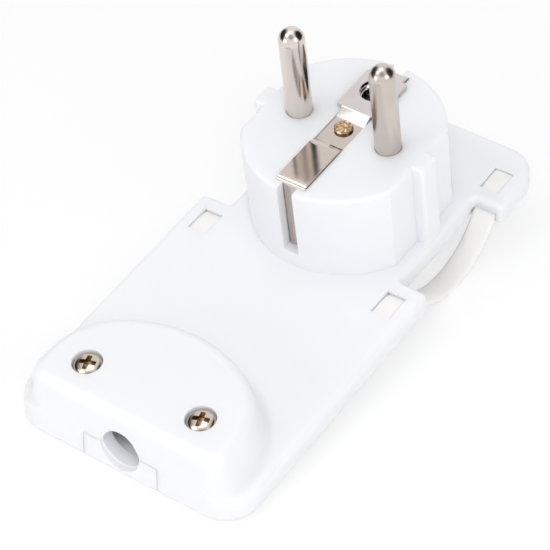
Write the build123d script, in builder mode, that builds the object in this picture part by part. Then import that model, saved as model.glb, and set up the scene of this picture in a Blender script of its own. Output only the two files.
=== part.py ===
# Flat earthed mains plug with two pull straps, in millimetres.
# X runs across the plate, Y from the cord end to the far end, Z along the pins.
# The origin is under the middle of the plate, level with the lowest point of the straps.
import os
from math import atan2, cos, degrees, radians, sin, tan

from build123d import *

os.makedirs("parts", exist_ok=True)

# Plate
plate_width = 49.0
plate_length = 96.0
plate_thick = 4.5
plate_corner = 6.5
plate_edge_round = 0.9
top_wall = 1.5
side_wall = 1.6
wall_draft = 11.5

# Boss
boss_to_far_end = 26.4
boss_height = 18.4
boss_diameter = 36.8
boss_across_flats = 31.9
boss_across_ridges = 36.4
ridge_width = 4.6
boss_rim_round = 0.6
ridge_edge_round = 0.7
boss_wall = 2.2
face_wall = 2.0

# Hump over the terminals
hump_height = 8.4
hump_width = 45.2
hump_length = 26.7
hump_straight = 8.35
hump_apex_radius = 27.6
hump_corner = 5.5
hump_edge_round = 2.0
hump_foot_round = 2.0
hump_wall = 1.8

# Cord inlet
inlet_diameter = 7.6
inlet_height = 5.3
inlet_flare = 0.35
tongue_width = 15.6
tongue_thick = 2.8

# Notches, windows and straps
notch_span = 24.0
notch_depth = 6.0
notch_corner = 1.0
window_inset = 2.45
window_width = 4.0
window_near = 14.9
window_length = 5.5
window_depth = 3.0
strap_width = 4.5
strap_thick = 1.1
strap_sink = 0.3
strap_bow = 8.2
strap_bend_start = 17.8
strap_bend_radius = 9.0
strap_shoulder = 14.4
strap_head_depth = 2.4
strap_head_length = 2.8
strap_edge_round = 0.35
strap_gap = 0.15

# Pins, in the standard pattern
pin_diameter = 4.8
pin_length = 19.0
pin_spacing = 19.0
pin_neck_diameter = 5.2
pin_neck_cone = 0.4
pin_flange_diameter = 6.8
pin_flange_thick = 1.5
pin_stem_diameter = 3.8
tail_diameter = 2.5
rivet_over_diameter = 3.6
rivet_over_thick = 0.4
pin_tube_wall = 1.4

# Earth strip, its rivet and its socket
strip_width = 6.0
strip_thick = 0.8
strip_reach = 16.4
strip_near_rise = 0.5
strip_seat_drop = 0.3
strip_bend_round = 0.9
clip_length = 15.2
slot_width = 3.2
hole_plate_width = 8.4
hole_plate_start = 4.0
hole_plate_end = 14.2
hole_plate_corner = 0.3
seat_near = 4.4
seat_slope = 1.8
seat_far = 2.0
earth_hole_offset = 10.0
earth_hole_diameter = 5.6
earth_bore_diameter = 4.9
socket_wall = 0.6
socket_length = 13.0
socket_flange_diameter = 7.6
socket_flange_thick = 0.7
socket_mouth_round = 0.4
socket_slit_width = 0.6
socket_slit_length = 9.5
socket_well = 16.0
rivet_head_diameter = 3.5
rivet_head_height = 0.7
rivet_head_round = 0.25
rivet_shank_diameter = 2.6

# Back cover and case screws
cover_thick = 1.4
cover_gap = 0.12
hook_width = 12.0
hook_reach = 1.0
hook_thick = 0.8
case_screw_spacing = 24.1
case_screw_from_front = 9.2
case_screw_diameter = 3.0
case_screw_head = 5.3
case_screw_head_thick = 1.6
case_screw_head_round = 0.6
case_screw_length = 9.0
cross_span = 3.4
cross_arm = 0.9
cross_depth = 1.1
cross_taper = 8.0
cross_turn = 18.0
head_recess = 2.0
post_diameter = 6.6
screw_pad = 1.6

# Busbars and terminals
busbar_width = 5.0
busbar_thick = 0.8
busbar_offset = 8.5
terminal_from_front = 16.8
terminal_width = 5.8
terminal_length = 6.0
terminal_height = 6.0
terminal_chamfer = 0.5
wire_hole_diameter = 3.2
wire_hole_rise = 3.9
terminal_screw_diameter = 3.0
terminal_screw_length = 2.6
rib_width = 1.5
driver_slot = 0.7

# Cord clamp
clamp_from_front = 8.4
clamp_length = 16.2
clamp_width = 5.0
clamp_thick = 1.6
clamp_drop = 0.9
clamp_pad_width = 8.4
clamp_pad_height = 3.5
clamp_pad_round = 0.8
clamp_screw_spacing = 13.0
clamp_screw_diameter = 2.4
clamp_screw_head = 3.6
clamp_screw_head_thick = 1.1
clamp_screw_length = 4.5
clamp_boss_diameter = 3.8

# Fits
fit_gap = 0.05
sheet_gap = 0.1

# Levels and stations worked out from the sizes
strap_top = strap_bow + strap_thick
plate_top = strap_top + strap_sink
plate_back = plate_top - plate_thick
cavity_roof = plate_top - top_wall
cover_top = plate_back + cover_thick
face_z = plate_top + boss_height
hump_top = plate_top + hump_height
inlet_z = plate_back + inlet_height
front_nose = plate_edge_round * (1 / tan(radians(45 - wall_draft / 2)) - 1)
front_y = -plate_length / 2 - front_nose
far_y = plate_length / 2
boss_y = far_y - boss_to_far_end
screw_y = front_y + case_screw_from_front
terminal_y = front_y + terminal_from_front
clamp_y = front_y + clamp_from_front
busbar_bottom = cavity_roof - busbar_thick
front_lean = plate_thick * tan(radians(wall_draft))
notch_half = notch_span / 2
notch_floor_to_axis = plate_width / 2 - notch_depth
window_inner_x = plate_width / 2 - window_inset - window_width
window_far = window_near + window_length
strap_inner_x = notch_floor_to_axis + strap_gap
post_inner_x = notch_floor_to_axis - side_wall
post_reach = window_far + side_wall

# Plan of the hump at the level of the plate's back: straight sides, two side arcs and one apex arc
hump_half = hump_width / 2
hump_cap = hump_length - hump_straight
side_radius = (hump_apex_radius**2 - hump_half**2 - (hump_apex_radius - hump_cap) ** 2) / (
    2 * (hump_apex_radius - hump_half)
)
side_centre_y = front_y + hump_straight
apex_centre_y = front_y + hump_length - hump_apex_radius
arc_turn = atan2(side_centre_y - apex_centre_y, hump_half - side_radius)
meet_x = hump_apex_radius * cos(arc_turn)
meet_y = apex_centre_y + hump_apex_radius * sin(arc_turn)
with BuildSketch(Plane.XY.offset(plate_back)) as hump_plan:
    with BuildLine():
        right_side = Line((hump_half, front_y), (hump_half, side_centre_y))
        right_arc = TangentArc(right_side @ 1, (meet_x, meet_y), tangent=right_side % 1)
        apex_arc = TangentArc(right_arc @ 1, (-meet_x, meet_y), tangent=right_arc % 1)
        left_arc = TangentArc(apex_arc @ 1, (-hump_half, side_centre_y), tangent=apex_arc % 1)
        left_side = Line(left_arc @ 1, (-hump_half, front_y))
        Line(left_side @ 1, right_side @ 0)
    make_face()
    fillet(hump_plan.vertices().group_by(Axis.Y)[0], hump_corner)

# Side view of a strap: flush with the plate in its windows, then bowed below the plate's back
strap_turn = degrees(2 * atan2(strap_bow, strap_bend_start))
strap_arc_sum = strap_bend_start / sin(radians(strap_turn))
bow_radius = strap_arc_sum - strap_bend_radius
strap_axis_z = strap_top - strap_thick / 2
strap_end = window_far - strap_gap
with BuildLine() as strap_path:
    first_run = Line((boss_y - strap_end, strap_axis_z), (boss_y - strap_bend_start, strap_axis_z))
    first_bend = JernArc(first_run @ 1, first_run % 1, strap_bend_radius - strap_thick / 2, -strap_turn)
    bow = JernArc(first_bend @ 1, first_bend % 1, bow_radius + strap_thick / 2, 2 * strap_turn)
    last_bend = JernArc(bow @ 1, bow % 1, strap_bend_radius - strap_thick / 2, -strap_turn)
    Line(last_bend @ 1, (boss_y + strap_end, strap_axis_z))

# Side view of the earth strip, as the line through the middle of its thickness
clip_axis = strip_reach - strip_thick / 2
near_axis_z = face_z + strip_near_rise - strip_thick / 2
seat_axis_z = face_z - strip_seat_drop - strip_thick / 2
hole_axis_z = face_z + strip_thick / 2
clip_end_z = face_z - clip_length
with BuildLine() as strip_path:
    FilletPolyline(
        (boss_y - clip_axis, clip_end_z),
        (boss_y - clip_axis, near_axis_z),
        (boss_y - seat_near - seat_slope, near_axis_z),
        (boss_y - seat_near, seat_axis_z),
        (boss_y + seat_far, seat_axis_z),
        (boss_y + hole_plate_start, hole_axis_z),
        (boss_y + clip_axis, hole_axis_z),
        (boss_y + clip_axis, clip_end_z),
        radius=strip_bend_round,
    )

# Plan of the boss: a round with two flats, and a guide ridge on each flat
with BuildSketch(Plane.XY.offset(plate_back)) as boss_plan:
    with Locations((0, boss_y)):
        Circle(boss_diameter / 2)
        Rectangle(boss_across_flats, boss_diameter, mode=Mode.INTERSECT)
        Rectangle(boss_across_ridges, ridge_width)

# Plan of the hollow behind the plate, narrowed where the notches and strap posts stand
with BuildSketch(Plane.XY.offset(plate_back)) as cavity_plan:
    RectangleRounded(plate_width - 2 * side_wall, plate_length - 2 * side_wall, plate_corner - side_wall)
    with Locations((0, boss_y)):
        with GridLocations(plate_width + 2 * post_inner_x, 0, 2, 1):
            Rectangle(plate_width, 2 * post_reach, mode=Mode.SUBTRACT)

# Space of the cord inlet: a straight bore with a flared mouth
with BuildPart() as inlet_space:
    with BuildSketch(Plane.YZ):
        with BuildLine():
            bore_r = inlet_diameter / 2
            mouth_y = front_y + inlet_height * tan(radians(wall_draft))
            bore_end_y = mouth_y + tongue_thick + plate_corner
            axis_line = Line((bore_end_y, inlet_z), (front_y - inlet_flare, inlet_z))
            mouth = Line(axis_line @ 1, (front_y - inlet_flare, inlet_z + bore_r + inlet_flare))
            lip = Line(mouth @ 1, (mouth_y, inlet_z + bore_r + inlet_flare))
            flare = RadiusArc(lip @ 1, (mouth_y + inlet_flare, inlet_z + bore_r), inlet_flare)
            wall = Line(flare @ 1, (bore_end_y, inlet_z + bore_r))
            Line(wall @ 1, axis_line @ 0)
        make_face()
    revolve(axis=Axis((0, 0, inlet_z), (0, 1, 0)))

# Hump with a rounded top edge and a hollow round at its foot, trimmed to the flat of the plate
hump_lean = (plate_thick + hump_height) * tan(radians(wall_draft))
with BuildPart() as hump_form:
    with BuildSketch(Plane.XY.offset(plate_back)):
        Rectangle(2 * plate_width, 2 * plate_length)
    extrude(amount=plate_thick)
    extrude(hump_plan.sketch, amount=plate_thick + hump_height, taper=wall_draft)
    slab_top = hump_form.faces().filter_by(Axis.Z).sort_by(Axis.Z)[1]
    fillet(slab_top.inner_wires()[0].edges(), hump_foot_round)
    hump_rim = hump_form.faces().sort_by(Axis.Z)[-1].outer_wire().edges()
    fillet(hump_rim, hump_edge_round)
with BuildPart() as hump_trim:
    with BuildSketch(Plane.YZ):
        with BuildLine():
            Polyline(
                (front_y, plate_back),
                (apex_centre_y + hump_apex_radius + hump_foot_round, plate_back),
                (apex_centre_y + hump_apex_radius + hump_foot_round, hump_top),
                (front_y + hump_lean, hump_top),
                close=True,
            )
        make_face()
    extrude(amount=plate_width / 2 - plate_edge_round, both=True)
    front_corners = hump_trim.edges().filter_by(lambda edge: abs(edge.tangent_at(0.5).Z) > 0.5)
    fillet(front_corners.group_by(Axis.Y)[0], plate_corner - plate_edge_round)

# Outer form of the front moulding: plate with notches, hump and boss in one solid
with BuildPart() as outer_form:
    with BuildSketch(Plane.YZ):
        with BuildLine():
            Polyline(
                (front_y, plate_back),
                (far_y, plate_back),
                (far_y, plate_top),
                (front_y + front_lean, plate_top),
                close=True,
            )
        make_face()
    extrude(amount=plate_width / 2, both=True)
    corners = outer_form.edges().filter_by(lambda edge: abs(edge.tangent_at(0.5).Z) > 0.5)
    fillet(corners, plate_corner)
    with BuildSketch(Plane.XY.offset(plate_back)):
        with Locations((0, boss_y)):
            with GridLocations(plate_width + 2 * notch_floor_to_axis, 0, 2, 1):
                Rectangle(plate_width, notch_span)
    extrude(amount=plate_thick, mode=Mode.SUBTRACT)
    upright = outer_form.edges().filter_by(Axis.Z).filter_by_position(
        Axis.Y, boss_y - notch_half - side_wall, boss_y + notch_half + side_wall
    )
    fillet(upright, notch_corner)
    fillet(outer_form.faces().sort_by(Axis.Z)[-1].outer_wire().edges(), plate_edge_round)
    add(hump_form.part & hump_trim.part)
    fillet(outer_form.faces().sort_by(Axis.Z)[0].outer_wire().edges(), plate_edge_round)
    extrude(boss_plan.sketch, amount=face_z - plate_back)
    ridge_edges = outer_form.edges().filter_by(Axis.Z).group_by(SortBy.LENGTH)[-1]
    ridge_base_x = boss_across_flats / 2 + ridge_edge_round
    ridge_corners = ridge_edges.filter_by(lambda edge: abs(edge.center().X) > ridge_base_x)
    fillet(ridge_corners, ridge_edge_round)
    fillet(outer_form.faces().sort_by(Axis.Z)[-1].outer_wire().edges(), boss_rim_round)

# Hollow of the boss: tubes stay round the pins, the rivet and the socket, and walls behind the clips
socket_outer = earth_bore_diameter + 2 * socket_wall
pin_neck_lean = degrees(atan2((pin_neck_diameter - pin_diameter) / 2, pin_neck_cone))
clip_back = strip_reach - strip_thick - sheet_gap - pin_tube_wall
clip_wall_width = strip_width + 2 * sheet_gap + 2 * side_wall
with BuildSketch(Plane.XY.offset(plate_back)) as boss_core:
    with Locations((0, boss_y)):
        Circle(boss_diameter / 2 - boss_wall)
        Rectangle(boss_across_flats - 2 * boss_wall, boss_diameter, mode=Mode.INTERSECT)
        with GridLocations(pin_spacing, 0, 2, 1):
            Circle(pin_flange_diameter / 2 + pin_tube_wall, mode=Mode.SUBTRACT)
        Circle(rivet_shank_diameter / 2 + pin_tube_wall, mode=Mode.SUBTRACT)
        with Locations((0, earth_hole_offset)):
            Circle(socket_outer / 2 + pin_tube_wall, mode=Mode.SUBTRACT)
        with GridLocations(0, 2 * clip_back + boss_diameter, 1, 2):
            Rectangle(clip_wall_width, boss_diameter, mode=Mode.SUBTRACT)

# Hollow of the hump
with BuildSketch(Plane.XY.offset(plate_back)) as hump_core:
    add(hump_plan.sketch_local)
    offset(amount=-hump_wall, mode=Mode.REPLACE)

# Way of the earth strip over the face and down both sides of the boss
with BuildPart() as strip_way:
    with BuildSketch(Plane.YZ):
        trace(strip_path.line, line_width=strip_thick + 2 * sheet_gap)
        with BuildLine():
            Polyline(
                (boss_y - seat_near - seat_slope, near_axis_z),
                (boss_y - seat_near, seat_axis_z),
                (boss_y + seat_far, seat_axis_z),
                (boss_y + hole_plate_start, hole_axis_z),
                (boss_y + hole_plate_start, hole_axis_z + strip_thick),
                (boss_y - seat_near - seat_slope, hole_axis_z + strip_thick),
                close=True,
            )
        make_face()
    extrude(amount=strip_width / 2 + sheet_gap, both=True)

# Way of a strap from its windows, under the bridges of the plate and out into its notch
strap_head_x = window_inner_x + strap_gap
strap_head_width = window_width - 2 * strap_gap
with BuildPart() as strap_way:
    with BuildSketch(Plane.YZ.offset(window_inner_x)):
        trace(strap_path.line, line_width=strap_thick + 2 * strap_gap)
    extrude(amount=window_width)
    with BuildSketch(Plane.YZ.offset(notch_floor_to_axis)):
        trace(strap_path.line, line_width=strap_thick + 2 * strap_gap)
        with Locations((boss_y, plate_top)):
            Rectangle(2 * (strap_shoulder + strap_gap), 4 * strap_bow, mode=Mode.INTERSECT)
    extrude(amount=strap_width + 2 * strap_gap)
    mirror(about=Plane.YZ)

# Blocks above and below the cord inlet: the lintel in the housing and the tongue on the cover
roof_z = hump_top - hump_wall
pad_z = roof_z - screw_pad
tongue_reach = tongue_thick + inlet_height * tan(radians(wall_draft))
with BuildPart() as lintel_block:
    with BuildSketch(Plane.XY.offset(inlet_z)):
        with Locations((0, front_y)):
            Rectangle(tongue_width, 2 * tongue_reach)
    extrude(amount=roof_z + hump_wall / 2 - inlet_z)
with BuildPart() as tongue_block:
    with BuildSketch(Plane.XY.offset(plate_back)):
        with Locations((0, front_y)):
            Rectangle(tongue_width, 2 * (tongue_reach - cover_gap))
    extrude(amount=inlet_height - fit_gap)

# Front housing: the outer form hollowed from the back
with BuildPart() as front_housing:
    add(outer_form.part)
    extrude(cavity_plan.sketch, amount=cavity_roof - plate_back, mode=Mode.SUBTRACT)
    extrude(hump_core.sketch, amount=roof_z - plate_back, taper=wall_draft, mode=Mode.SUBTRACT)
    extrude(boss_core.sketch, amount=face_z - face_wall - plate_back, mode=Mode.SUBTRACT)
    add(lintel_block.part & outer_form.part)

    # Seats of the pins, which widen by a cone under the face, and of the rivet and the socket
    with BuildSketch(Plane.XY.offset(face_z)):
        with Locations((0, boss_y)):
            with GridLocations(pin_spacing, 0, 2, 1):
                Circle(pin_diameter / 2 + fit_gap)
    extrude(amount=-pin_neck_cone, taper=-pin_neck_lean, mode=Mode.SUBTRACT)
    with BuildSketch(Plane.XY.offset(face_z - pin_neck_cone)):
        with Locations((0, boss_y)):
            with GridLocations(pin_spacing, 0, 2, 1):
                Circle(pin_neck_diameter / 2 + fit_gap)
    extrude(amount=plate_back + pin_neck_cone - face_z, mode=Mode.SUBTRACT)
    with BuildSketch(Plane.XY.offset(face_z)):
        with Locations((0, boss_y)):
            Circle(rivet_shank_diameter / 2 + fit_gap)
    extrude(amount=plate_back - face_z, mode=Mode.SUBTRACT)
    with BuildSketch(Plane.XY.offset(face_z - face_wall)):
        with Locations((0, boss_y)):
            with GridLocations(pin_spacing, 0, 2, 1):
                Circle(pin_flange_diameter / 2 + fit_gap)
    extrude(amount=plate_back + face_wall - face_z, mode=Mode.SUBTRACT)
    with BuildSketch(Plane.XY.offset(face_z)):
        with Locations((0, boss_y + earth_hole_offset)):
            Circle(socket_flange_diameter / 2 + fit_gap)
    extrude(amount=-socket_flange_thick, mode=Mode.SUBTRACT)
    with BuildSketch(Plane.XY.offset(face_z)):
        with Locations((0, boss_y + earth_hole_offset)):
            Circle(socket_outer / 2 + fit_gap)
    extrude(amount=-socket_well, mode=Mode.SUBTRACT)

    # Way of the earth strip, and the open slots that show its clips
    add(strip_way.part, mode=Mode.SUBTRACT)
    with BuildSketch(Plane.XY.offset(face_z)):
        with Locations((0, boss_y)):
            with GridLocations(0, boss_diameter, 1, 2):
                Rectangle(slot_width, boss_diameter - 2 * strip_reach)
    extrude(amount=-clip_length, mode=Mode.SUBTRACT)

    # Windows and ways of the straps
    with BuildSketch(Plane.XY.offset(plate_top)):
        with Locations((0, boss_y)):
            with GridLocations(2 * window_inner_x + window_width, 2 * window_near + window_length, 2, 2):
                Rectangle(window_width, window_length)
    extrude(amount=-window_depth, mode=Mode.SUBTRACT)
    add(strap_way.part, mode=Mode.SUBTRACT)

    # Cord inlet, with room for the cover's tongue below its middle
    add(inlet_space.part, mode=Mode.SUBTRACT)
    with BuildSketch(Plane.XY.offset(plate_back)):
        with Locations((0, front_y)):
            Rectangle(tongue_width + 2 * cover_gap, 2 * tongue_reach)
    extrude(amount=inlet_height, mode=Mode.SUBTRACT)

    # Pads, holes and head recesses of the case screws
    with BuildSketch(Plane.XY.offset(pad_z)):
        with Locations((0, screw_y)):
            with GridLocations(case_screw_spacing, 0, 2, 1):
                Circle(post_diameter / 2)
    extrude(amount=screw_pad + hump_wall / 2)
    with BuildSketch(Plane.XY.offset(pad_z)):
        with Locations((0, screw_y)):
            with GridLocations(case_screw_spacing, 0, 2, 1):
                Circle(case_screw_diameter / 2 + sheet_gap)
    extrude(amount=hump_top - pad_z, mode=Mode.SUBTRACT)
    with BuildSketch(Plane.XY.offset(hump_top)):
        with Locations((0, screw_y)):
            with GridLocations(case_screw_spacing, 0, 2, 1):
                Circle(case_screw_head / 2 + sheet_gap)
    extrude(amount=-head_recess, mode=Mode.SUBTRACT)

    # Bosses that hang from the roof and take the clamp screws
    with BuildSketch(Plane.XY.offset(inlet_z - clamp_drop)):
        with Locations((0, clamp_y)):
            with GridLocations(clamp_screw_spacing, 0, 2, 1):
                Circle(clamp_boss_diameter / 2)
    extrude(amount=roof_z + hump_wall / 2 - inlet_z + clamp_drop)
    with BuildSketch(Plane.XY.offset(inlet_z - clamp_drop)):
        with Locations((0, clamp_y)):
            with GridLocations(clamp_screw_spacing, 0, 2, 1):
                Circle(clamp_screw_diameter / 2 + fit_gap)
    extrude(amount=clamp_screw_length, mode=Mode.SUBTRACT)

    # Slot in the far wall for the cover's hook
    with BuildSketch(Plane.XY.offset(cover_top - hook_thick - cover_gap)):
        with Locations((0, far_y - side_wall)):
            Rectangle(hook_width + 2 * cover_gap, 2 * hook_reach)
    extrude(amount=hook_thick + 2 * cover_gap, mode=Mode.SUBTRACT)
front_housing.part.label = "front_housing"
export_step(front_housing.part, "parts/front_housing.step")

# Back cover: a flat lid with the inlet's lower half, screw posts, ribs under the busbars and a hook
with BuildSketch(Plane.XY.offset(plate_back)) as cover_plan:
    add(cavity_plan.sketch_local)
    offset(amount=-cover_gap, mode=Mode.REPLACE)
rib_half_span = (boss_y - terminal_y) / 2 - terminal_length
with BuildPart() as back_cover:
    extrude(cover_plan.sketch, amount=cover_thick)
    add(tongue_block.part & outer_form.part)
    add(inlet_space.part, mode=Mode.SUBTRACT)
    with BuildSketch(Plane.XY.offset(plate_back)):
        with Locations((0, screw_y)):
            with GridLocations(case_screw_spacing, 0, 2, 1):
                Circle(post_diameter / 2)
    extrude(amount=pad_z - fit_gap - plate_back)
    with BuildSketch(Plane.XY.offset(pad_z)):
        with Locations((0, screw_y)):
            with GridLocations(case_screw_spacing, 0, 2, 1):
                Circle(case_screw_diameter / 2 + fit_gap)
    extrude(amount=hump_top - head_recess - case_screw_length - sheet_gap - pad_z, mode=Mode.SUBTRACT)
    with BuildSketch(Plane.XY.offset(plate_back)):
        with Locations((0, (boss_y + terminal_y) / 2)):
            with GridLocations(0, rib_half_span, 1, 3):
                Rectangle(2 * busbar_offset + busbar_width, rib_width)
    extrude(amount=busbar_bottom - plate_back)
    with BuildSketch(Plane.XY.offset(cover_top - hook_thick)):
        with Locations((0, far_y - side_wall)):
            Rectangle(hook_width, 2 * (hook_reach - cover_gap))
    extrude(amount=hook_thick)
back_cover.part.label = "back_cover"
export_step(back_cover.part, "parts/back_cover.step")

# Pins: turned solid, held by a flange under the face and riveted to their busbars
pin_x = pin_spacing / 2
pin_r = pin_diameter / 2
with BuildPart() as pin_right:
    with BuildSketch(Plane.XZ.offset(-boss_y)):
        with BuildLine():
            tip = CenterArc((pin_x, face_z + pin_length - pin_r), pin_r, 0, 90)
            outline = Polyline(
                tip @ 0,
                (pin_x + pin_r, face_z),
                (pin_x + pin_neck_diameter / 2, face_z - pin_neck_cone),
                (pin_x + pin_neck_diameter / 2, face_z - face_wall),
                (pin_x + pin_flange_diameter / 2, face_z - face_wall),
                (pin_x + pin_flange_diameter / 2, face_z - face_wall - pin_flange_thick),
                (pin_x + pin_stem_diameter / 2, face_z - face_wall - pin_flange_thick),
                (pin_x + pin_stem_diameter / 2, cavity_roof),
                (pin_x + tail_diameter / 2, cavity_roof),
                (pin_x + tail_diameter / 2, busbar_bottom),
                (pin_x + rivet_over_diameter / 2, busbar_bottom),
                (pin_x + rivet_over_diameter / 2, busbar_bottom - rivet_over_thick),
                (pin_x, busbar_bottom - rivet_over_thick),
            )
            Line(outline @ 1, tip @ 1)
        make_face()
    revolve(axis=Axis((pin_x, boss_y, 0), (0, 0, 1)))
pin_right.part.label = "pin_right"
export_step(pin_right.part, "parts/pin_right.step")
with BuildPart() as pin_left:
    mirror(pin_right.part, about=Plane.YZ)
pin_left.part.label = "pin_left"
export_step(pin_left.part, "parts/pin_left.step")

# Busbars: flat strips under the plate from each pin, and from the earth rivet, to a terminal
busbar_near = terminal_y - terminal_length / 2
busbar_far = boss_y + busbar_width / 2
busbar_middle = (busbar_near + busbar_far) / 2
with BuildPart() as busbar_right:
    with BuildSketch(Plane.XY.offset(busbar_bottom)):
        with Locations((busbar_offset, busbar_middle)):
            Rectangle(busbar_width, busbar_far - busbar_near)
        with Locations((pin_x, boss_y)):
            Circle(tail_diameter / 2 + fit_gap, mode=Mode.SUBTRACT)
        with Locations((busbar_offset, terminal_y)):
            Circle(terminal_screw_diameter / 2 + sheet_gap, mode=Mode.SUBTRACT)
    extrude(amount=busbar_thick)
busbar_right.part.label = "busbar_right"
export_step(busbar_right.part, "parts/busbar_right.step")
with BuildPart() as busbar_left:
    mirror(busbar_right.part, about=Plane.YZ)
busbar_left.part.label = "busbar_left"
export_step(busbar_left.part, "parts/busbar_left.step")
with BuildPart() as earth_busbar:
    with BuildSketch(Plane.XY.offset(busbar_bottom)):
        with Locations((0, busbar_middle)):
            Rectangle(busbar_width, busbar_far - busbar_near)
        with Locations((0, boss_y)):
            Circle(rivet_shank_diameter / 2 + fit_gap, mode=Mode.SUBTRACT)
        with Locations((0, terminal_y)):
            Circle(terminal_screw_diameter / 2 + sheet_gap, mode=Mode.SUBTRACT)
    extrude(amount=busbar_thick)
earth_busbar.part.label = "earth_busbar"
export_step(earth_busbar.part, "parts/earth_busbar.step")

# Terminals: brass blocks on the busbars, cross-bored for a wire and tapped from the back
with BuildPart() as earth_terminal:
    with BuildSketch(Plane.XY.offset(cavity_roof)):
        with Locations((0, terminal_y)):
            Rectangle(terminal_width, terminal_length)
    extrude(amount=terminal_height)
    chamfer(earth_terminal.edges().filter_by(Axis.Z), terminal_chamfer)
    with BuildSketch(Plane.XZ.offset(-terminal_y)):
        with Locations((0, cavity_roof + wire_hole_rise)):
            Circle(wire_hole_diameter / 2)
    extrude(amount=terminal_length, both=True, mode=Mode.SUBTRACT)
    with BuildSketch(Plane.XY.offset(cavity_roof)):
        with Locations((0, terminal_y)):
            Circle(terminal_screw_diameter / 2 + fit_gap)
    extrude(amount=wire_hole_rise, mode=Mode.SUBTRACT)
earth_terminal.part.label = "earth_terminal"
export_step(earth_terminal.part, "parts/earth_terminal.step")
with BuildPart() as terminal_right:
    with Locations((busbar_offset, 0)):
        add(earth_terminal.part)
terminal_right.part.label = "terminal_right"
export_step(terminal_right.part, "parts/terminal_right.step")
with BuildPart() as terminal_left:
    with Locations((-busbar_offset, 0)):
        add(earth_terminal.part)
terminal_left.part.label = "terminal_left"
export_step(terminal_left.part, "parts/terminal_left.step")

# Terminal screws: headless, slotted across the end that faces the back
with BuildPart() as earth_terminal_screw:
    with BuildSketch(Plane.XY.offset(cavity_roof)):
        with Locations((0, terminal_y)):
            Circle(terminal_screw_diameter / 2)
    extrude(amount=terminal_screw_length)
    with BuildSketch(Plane.XY.offset(cavity_roof)):
        with Locations((0, terminal_y)):
            Rectangle(terminal_screw_diameter, driver_slot)
    extrude(amount=driver_slot, mode=Mode.SUBTRACT)
earth_terminal_screw.part.label = "earth_terminal_screw"
export_step(earth_terminal_screw.part, "parts/earth_terminal_screw.step")
with BuildPart() as terminal_screw_right:
    with Locations((busbar_offset, 0)):
        add(earth_terminal_screw.part)
terminal_screw_right.part.label = "terminal_screw_right"
export_step(terminal_screw_right.part, "parts/terminal_screw_right.step")
with BuildPart() as terminal_screw_left:
    with Locations((-busbar_offset, 0)):
        add(earth_terminal_screw.part)
terminal_screw_left.part.label = "terminal_screw_left"
export_step(terminal_screw_left.part, "parts/terminal_screw_left.step")

# Earth strip: one folded strip, wider where it carries the hole for the socket outlet's pin
hole_plate_middle = (hole_plate_start + hole_plate_end) / 2
with BuildPart() as earth_strip:
    with BuildSketch(Plane.YZ):
        trace(strip_path.line, line_width=strip_thick)
    extrude(amount=strip_width / 2, both=True)
    with BuildSketch(Plane.XY.offset(face_z)):
        with Locations((0, boss_y + hole_plate_middle)):
            RectangleRounded(hole_plate_width, hole_plate_end - hole_plate_start, hole_plate_corner)
    extrude(amount=strip_thick)
    with BuildSketch(Plane.XY.offset(face_z)):
        with Locations((0, boss_y + earth_hole_offset)):
            Circle(earth_hole_diameter / 2)
    extrude(amount=strip_thick, mode=Mode.SUBTRACT)
    with BuildSketch(Plane.XY.offset(seat_axis_z)):
        with Locations((0, boss_y)):
            Circle(rivet_shank_diameter / 2 + fit_gap)
    extrude(amount=strip_thick, both=True, mode=Mode.SUBTRACT)
earth_strip.part.label = "earth_strip"
export_step(earth_strip.part, "parts/earth_strip.step")

# Earth rivet: struck head on the strip, shank through the boss, end spread under the earth busbar
seat_top = seat_axis_z + strip_thick / 2
with BuildPart() as earth_rivet:
    with BuildSketch(Plane.XY.offset(seat_top)):
        with Locations((0, boss_y)):
            Circle(rivet_head_diameter / 2)
    extrude(amount=rivet_head_height)
    fillet(earth_rivet.edges().group_by(Axis.Z)[-1], rivet_head_round)
    with BuildSketch(Plane.XY.offset(busbar_bottom)):
        with Locations((0, boss_y)):
            Circle(rivet_shank_diameter / 2)
    extrude(amount=seat_top - busbar_bottom)
    with BuildSketch(Plane.XY.offset(busbar_bottom)):
        with Locations((0, boss_y)):
            Circle(rivet_over_diameter / 2)
    extrude(amount=-rivet_over_thick)
earth_rivet.part.label = "earth_rivet"
export_step(earth_rivet.part, "parts/earth_rivet.step")

# Earth socket: a flanged sleeve slit from its inner end, so that it grips the outlet's earth pin
with BuildPart() as earth_socket:
    with BuildSketch(Plane.XY.offset(face_z)):
        with Locations((0, boss_y + earth_hole_offset)):
            Circle(socket_outer / 2)
    extrude(amount=-socket_length)
    with BuildSketch(Plane.XY.offset(face_z)):
        with Locations((0, boss_y + earth_hole_offset)):
            Circle(socket_flange_diameter / 2)
    extrude(amount=-socket_flange_thick)
    with BuildSketch(Plane.XY.offset(face_z)):
        with Locations((0, boss_y + earth_hole_offset)):
            Circle(earth_bore_diameter / 2)
    extrude(amount=-socket_length, mode=Mode.SUBTRACT)
    mouth_rim = earth_socket.faces().sort_by(Axis.Z)[-1].inner_wires()[0].edges()
    fillet(mouth_rim, socket_mouth_round)
    with BuildSketch(Plane.XY.offset(face_z - socket_length)):
        with Locations((0, boss_y + earth_hole_offset)):
            Rectangle(2 * socket_outer, socket_slit_width)
    extrude(amount=socket_slit_length, mode=Mode.SUBTRACT)
earth_socket.part.label = "earth_socket"
export_step(earth_socket.part, "parts/earth_socket.step")

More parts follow.
